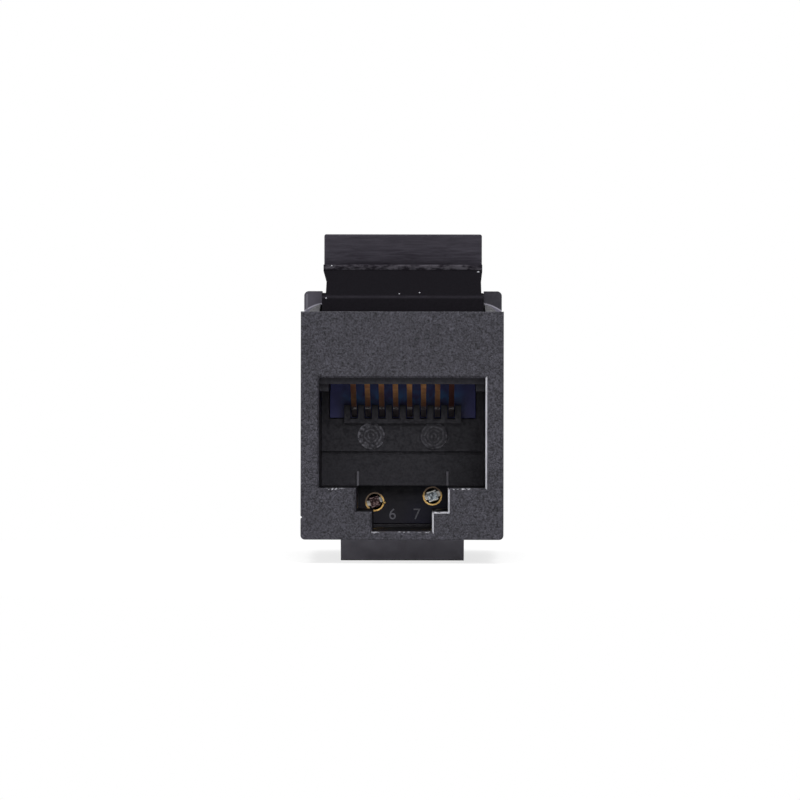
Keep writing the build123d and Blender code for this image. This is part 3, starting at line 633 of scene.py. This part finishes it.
def plated_metal(name, dark, light, roughness, along=(1, 0.08, 1), metallic=1.0):
    """Plated metal with drawn lines and a cloudy tone, which the caller marks and sets."""
    finish = Finish(name, light, roughness, metallic=metallic)
    lines = finish.noise(0.05 * MM, detail=3.0, place=finish.stretched(along))
    tone = finish.mix(finish.contrast(finish.noise(0.5 * MM), 0.3, 0.7), dark, light)
    finish.gloss(finish.ramp(lines, (0.3, roughness - 0.08), (0.7, roughness + 0.12)))
    finish.normal(finish.bump(lines, 0.004 * MM, finish.soft_edges(0.03 * MM)))
    return finish, tone


def contact_metal():
    """Gold-plated wire, painted shade low down and on the last wire, a glint where its tip enters
    the comb.
    """
    gold = (linear(176, 120, 84), linear(212, 160, 108))
    finish, tone = plated_metal("gold_wire", *gold, 0.42, metallic=0.75)
    height = finish.axis("Z")
    low = finish.inverse(finish.step(height, COMB_TOP_Z + 0.6 * MM, 1.6 * MM))
    worn = finish.noise(1.9 * MM, detail=1.0, place=finish.stretched((1, 0.2, 0.2)))
    worn = finish.ramp(worn, (0.5, 0.0), (0.62, 0.7))
    # Painted shade low down and on the last wire, with random dull patches
    dull_and_shade = finish.largest(finish.product(low, 0.75), worn)
    last_wire_shade = finish.over(finish.axis("X"), LAST_WIRE_X)
    tone = finish.mix(finish.largest(dull_and_shade, last_wire_shade), tone, linear(104, 66, 58))
    tip = finish.mix(finish.noise(0.3 * MM), linear(70, 62, 66), linear(132, 124, 128))
    tone = finish.mix(finish.step(height, COMB_TOP_Z, 2 * SOFT), tip, tone)
    chips = finish.contrast(finish.noise(0.22 * MM, detail=3.0), 0.45, 0.58)
    glint = finish.product(finish.band(height, COMB_TOP_Z - 0.12 * MM, 0.12 * MM), chips)
    finish.colour(finish.mix(glint, tone, linear(250, 248, 248)))
    return finish.material


def blade_metal():
    """Tinned bronze, with painted shade and glints in the holes, and browner painted shade on the
    left tail.
    """
    tin = (linear(186, 186, 184), linear(222, 222, 218))
    finish, tone = plated_metal("tinned_bronze", *tin, 0.3)
    # Painted shade and glints inside the holes, and painted shade on the left tail
    behind = finish.step(finish.axis("Y"), board_high[1], 2 * SOFT)
    ahead = finish.inverse(finish.step(finish.axis("Y"), TAIL_SHOWN_Y, 0.16 * MM))
    beads = finish.contrast(finish.noise(0.16 * MM, detail=3.0), 0.4, 0.62)
    in_hole_shade_and_glints = finish.mix(beads, linear(84, 88, 92), linear(190, 200, 206))
    tone = finish.mix(finish.largest(behind, ahead), in_hole_shade_and_glints, tone)
    crumbs = finish.contrast(finish.noise(0.2 * MM, detail=4.0, roughness=0.7), 0.48, 0.6)
    left_tail_shade_tone = finish.mix(crumbs, linear(44, 34, 34), linear(132, 112, 112))
    left = finish.inverse(finish.step(finish.axis("X"), 0.0, SOFT))
    left_tail_shade = finish.product(left, finish.inverse(behind))
    finish.colour(finish.mix(left_tail_shade, tone, left_tail_shade_tone))
    return finish.material


def ring_metal():
    """Gold of the rings on the board, with painted shade at the top and dark inside the holes."""
    gold = (linear(196, 150, 82), linear(240, 202, 130))
    finish, tone = plated_metal("gold_ring", *gold, 0.3, along=(1, 1, 1), metallic=0.7)
    depth = finish.axis("Y")
    inside = finish.step(depth, board_low[1] + 0.08 * MM, SOFT)
    behind = finish.step(depth, board_high[1] - 0.08 * MM, SOFT)
    left = finish.under(finish.axis("X"), 0.0)
    # Painted shade on the top of each ring
    left_top = finish.product(left, ring_top(finish, LEFT_HOLE, 0.5))
    right_top = finish.product(finish.inverse(left), ring_top(finish, RIGHT_HOLE, 0.0))
    top = finish.largest(left_top, right_top)
    top_shade = finish.product(top, finish.inverse(inside))
    in_hole = finish.minus(inside, behind, clamp=True)
    tone = finish.overlay(tone, (top_shade, linear(112, 96, 82)), (in_hole, linear(92, 62, 32)))
    finish.colour(tone)
    return finish.material


def ring_top(finish, hole, lean):
    """1 above a leaning line through the middle of a hole, 0 below it."""
    from_x = finish.minus(finish.axis("X"), hole[0])
    from_z = finish.minus(finish.axis("Z"), hole[1])
    return finish.step(finish.minus(from_z, finish.product(from_x, lean)), 0.2 * MM, 0.5 * MM)


def board_mask():
    """Dark solder mask, bluer to the right, with the faint relief of tracks under it."""
    finish = Finish("board_black", linear(26, 26, 36), 0.38, specular=0.16)
    weave = finish.noise(0.22 * MM)
    navy = finish.step(finish.axis("X"), 0.6 * MM, 2.4 * MM)
    tone = finish.mix(navy, linear(30, 28, 37), linear(25, 25, 46))
    cloud = finish.ramp(finish.noise(2.2 * MM), (0.35, 0.0), (0.65, 0.5))
    finish.colour(finish.mix(cloud, tone, linear(20, 19, 28)))
    finish.gloss(finish.ramp(weave, (0.3, 0.32), (0.7, 0.46)))
    tracks = finish.bump(board_tracks(finish), 0.006 * MM, finish.soft_edges(0.04 * MM), 0.3)
    finish.normal(finish.bump(weave, 0.005 * MM, tracks))
    return finish.material


def board_tracks(finish):
    """Wavy bands for the tracks of the board."""
    waves = finish.nodes.new("ShaderNodeTexWave")
    waves.wave_type = "BANDS"
    waves.bands_direction = "X"
    waves.inputs["Scale"].default_value = 1 / (3.2 * MM)
    waves.inputs["Distortion"].default_value = 1.5
    waves.inputs["Detail"].default_value = 0.0
    waves.inputs["Detail Scale"].default_value = 0.6
    finish.links.new(finish.place, waves.inputs["Vector"])
    return finish.contrast(waves.outputs["Fac"], 0.45, 0.55)


def printed_ink():
    """Thin pale printing ink."""
    finish = Finish("board_ink", linear(104, 104, 112), 0.6, specular=0.3)
    patchy = finish.noise(0.12 * MM, detail=3.0)
    finish.colour(finish.mix(patchy, linear(66, 66, 74), linear(122, 122, 130)))
    finish.normal(finish.bump(patchy, 0.004 * MM))
    return finish.material


def glint_white_plastic():
    """Pale plastic of small nibs on the latch, whose colour is a painted glint."""
    finish = Finish("glint_white_plastic", linear(215, 215, 220), 0.45)
    patchy = finish.noise(0.05 * MM, detail=3.0)
    finish.colour(finish.mix(patchy, linear(90, 90, 96), linear(172, 172, 178)))
    finish.normal(finish.bump(patchy, 0.01 * MM))
    return finish.material


def dress(name, material):
    """Give a node of the frame its material."""
    mesh = nodes[name].data
    if not mesh.materials:
        mesh.materials.append(material)
    for index in range(len(mesh.materials)):
        mesh.materials[index] = material


def dress_nodes(gold_ring):
    """Give every node of the frame its material."""
    rear_black = rear_plastic()
    gold_wire = contact_metal()
    tinned_bronze = blade_metal()
    dress("front_housing", housing_plastic())
    dress("release_latch", latch_plastic())
    dress("contact_carrier", carrier_plastic())
    dress("circuit_board", board_mask())
    dress("idc_block", rear_black)
    dress("wire_cap", rear_black)
    dress("plated_holes", gold_ring)
    for name in CONTACTS:
        dress(name, gold_wire)
    for name in BLADES:
        dress(name, tinned_bronze)


def new_piece(name, made, material, body):
    """Put a finished bmesh in the scene as a piece that rides on a body."""
    mesh = bpy.data.meshes.new(name)
    made.to_mesh(mesh)
    made.free()
    mesh.materials.append(material)
    piece = bpy.data.objects.new(name, mesh)
    bpy.context.scene.collection.objects.link(piece)
    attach(piece, body)


def text_mesh(body):
    """Mesh of a printed text, as thick as its ink."""
    text = bpy.data.curves.new("number", "FONT")
    text.body = body
    text.size = NUMBER_SIZE
    text.extrude = INK_DEPTH / 2
    holder = bpy.data.objects.new("number", text)
    bpy.context.scene.collection.objects.link(holder)
    bpy.context.view_layer.update()
    graph = bpy.context.evaluated_depsgraph_get()
    mesh = bpy.data.meshes.new_from_object(holder.evaluated_get(graph))
    bpy.data.objects.remove(holder)
    return mesh


def board_numbers():
    """Plain numbers printed beside the two holes that the keyway shows."""
    made = bmesh.new()
    upright = Matrix.Rotation(math.radians(90), 4, "X")
    for body, x in NUMBERS:
        mesh = text_mesh(body)
        mesh.transform(Matrix.Translation((x, board_low[1] - INK_DEPTH / 2, NUMBER_Z)) @ upright)
        made.from_mesh(mesh)
    new_piece("board_numbers", made, printed_ink(), "socket")


def latch_glint_nibs():
    """Small pale nibs on the latch, as painted glints at its edges."""
    made = bmesh.new()
    for place, radius in NIBS:
        nib = bmesh.ops.create_icosphere(made, subdivisions=3, radius=radius)
        for vertex in nib["verts"]:
            vertex.co *= random.uniform(0.82, 1.12)
            vertex.co.z *= 0.7
            vertex.co += Vector(place)
    # Their pale colour is a painted glint
    new_piece("latch_glint_nibs", made, glint_white_plastic(), "latch")


def ring_drop(gold_ring):
    """Drop of gold at the side of the left ring."""
    made = bmesh.new()
    drop = bmesh.ops.create_icosphere(made, subdivisions=3, radius=DROP_RADIUS)
    for vertex in drop["verts"]:
        vertex.co.y *= 0.5
        vertex.co.z *= 0.8
        vertex.co += Vector(DROP_PLACE)
    for face in made.faces:
        face.smooth = True
    new_piece("ring_drop", made, gold_ring, "socket")


def add_camera():
    """Camera in front of the face, a little to the right, as the photograph's stood."""
    data = bpy.data.cameras.new("front_camera")
    data.sensor_width = SENSOR_WIDTH
    data.lens = SENSOR_WIDTH * CAMERA_DISTANCE / VIEW_WIDTH
    data.clip_start = CLIP_START
    data.clip_end = CLIP_END
    camera = bpy.data.objects.new("front_camera", data)
    aside = CAMERA_DISTANCE * math.tan(CAMERA_TURN)
    camera.location = (CAMERA_AIM_X + aside, -CAMERA_DISTANCE, CAMERA_Z)
    camera.rotation_euler = (math.radians(90), -CAMERA_ROLL, CAMERA_TURN)
    bpy.context.scene.collection.objects.link(camera)
    bpy.context.scene.camera = camera


def seen_ray(tree):
    """1 for rays from the camera and for their reflections, 0 for the light on the socket."""
    path = tree.nodes.new("ShaderNodeLightPath")
    seen = path.outputs["Is Camera Ray"]
    for kind in ("Is Glossy Ray", "Is Transmission Ray"):
        either = tree.nodes.new("ShaderNodeMath")
        either.operation = "MAXIMUM"
        tree.links.new(seen, either.inputs[0])
        tree.links.new(path.outputs[kind], either.inputs[1])
        seen = either.outputs[0]
    return seen


def white_share(tree):
    """Share of plain white on the floor: less near the socket, where its shadow shows."""
    place = tree.nodes.new("ShaderNodeTexCoord")
    length = tree.nodes.new("ShaderNodeVectorMath")
    length.operation = "LENGTH"
    tree.links.new(place.outputs["Object"], length.inputs[0])
    near = tree.nodes.new("ShaderNodeMapRange")
    near.inputs["From Min"].default_value = SHADOW_REACH / 3
    near.inputs["From Max"].default_value = SHADOW_REACH
    near.inputs["To Min"].default_value = 1 - SHADOW_SHARE
    near.inputs["To Max"].default_value = 1.0
    tree.links.new(length.outputs["Value"], near.inputs["Value"])
    share = tree.nodes.new("ShaderNodeMath")
    share.operation = "MULTIPLY"
    tree.links.new(seen_ray(tree), share.inputs[0])
    tree.links.new(near.outputs["Result"], share.inputs[1])
    return share.outputs[0]


def floor_material():
    """Pale floor that the camera sees as white, but for the soft shadow of the socket."""
    material = bpy.data.materials.new("pale_floor")
    material.use_nodes = True
    tree = material.node_tree
    tree.nodes.remove(tree.nodes["Principled BSDF"])
    diffuse = tree.nodes.new("ShaderNodeBsdfDiffuse")
    diffuse.inputs["Color"].default_value = FLOOR_GREY
    glow = tree.nodes.new("ShaderNodeEmission")
    mix = tree.nodes.new("ShaderNodeMixShader")
    tree.links.new(white_share(tree), mix.inputs[0])
    tree.links.new(diffuse.outputs[0], mix.inputs[1])
    tree.links.new(glow.outputs[0], mix.inputs[2])
    tree.links.new(mix.outputs[0], tree.nodes["Material Output"].inputs["Surface"])
    return material


def add_floor():
    """Wide flat floor under the socket."""
    mesh = bpy.data.meshes.new("floor")
    corners = [(-1, -1), (1, -1), (1, 1), (-1, 1)]
    points = [(x * FLOOR_HALF_SIDE, y * FLOOR_HALF_SIDE, 0) for x, y in corners]
    mesh.from_pydata(points, [], [(0, 1, 2, 3)])
    mesh.materials.append(floor_material())
    floor = bpy.data.objects.new("floor", mesh)
    floor.location.z = FLOOR_Z
    bpy.context.scene.collection.objects.link(floor)


def add_world():
    """White to the eye and in reflections, with a softer light on the socket."""
    world = bpy.data.worlds.new("studio")
    world.use_nodes = True
    tree = world.node_tree
    background = tree.nodes["Background"]
    background.inputs["Color"].default_value = WHITE
    strength = tree.nodes.new("ShaderNodeMath")
    strength.operation = "MAXIMUM"
    tree.links.new(seen_ray(tree), strength.inputs[0])
    strength.inputs[1].default_value = WORLD_LEVEL
    tree.links.new(strength.outputs[0], background.inputs["Strength"])
    bpy.context.scene.world = world


def add_lamp(name, place, size, power):
    """Soft square light that faces the socket."""
    data = bpy.data.lights.new(name, "AREA")
    data.shape = "SQUARE"
    data.size = size
    data.energy = power
    lamp = bpy.data.objects.new(name, data)
    lamp.location = place
    lamp.rotation_euler = (-Vector(place)).to_track_quat("-Z", "Y").to_euler()
    bpy.context.scene.collection.objects.link(lamp)


gold_ring = ring_metal()
dress_nodes(gold_ring)
board_numbers()
latch_glint_nibs()
ring_drop(gold_ring)

add_camera()
add_floor()
add_world()
for lamp in LAMPS:
    add_lamp(*lamp)
bpy.context.scene.view_settings.view_transform = "Standard"
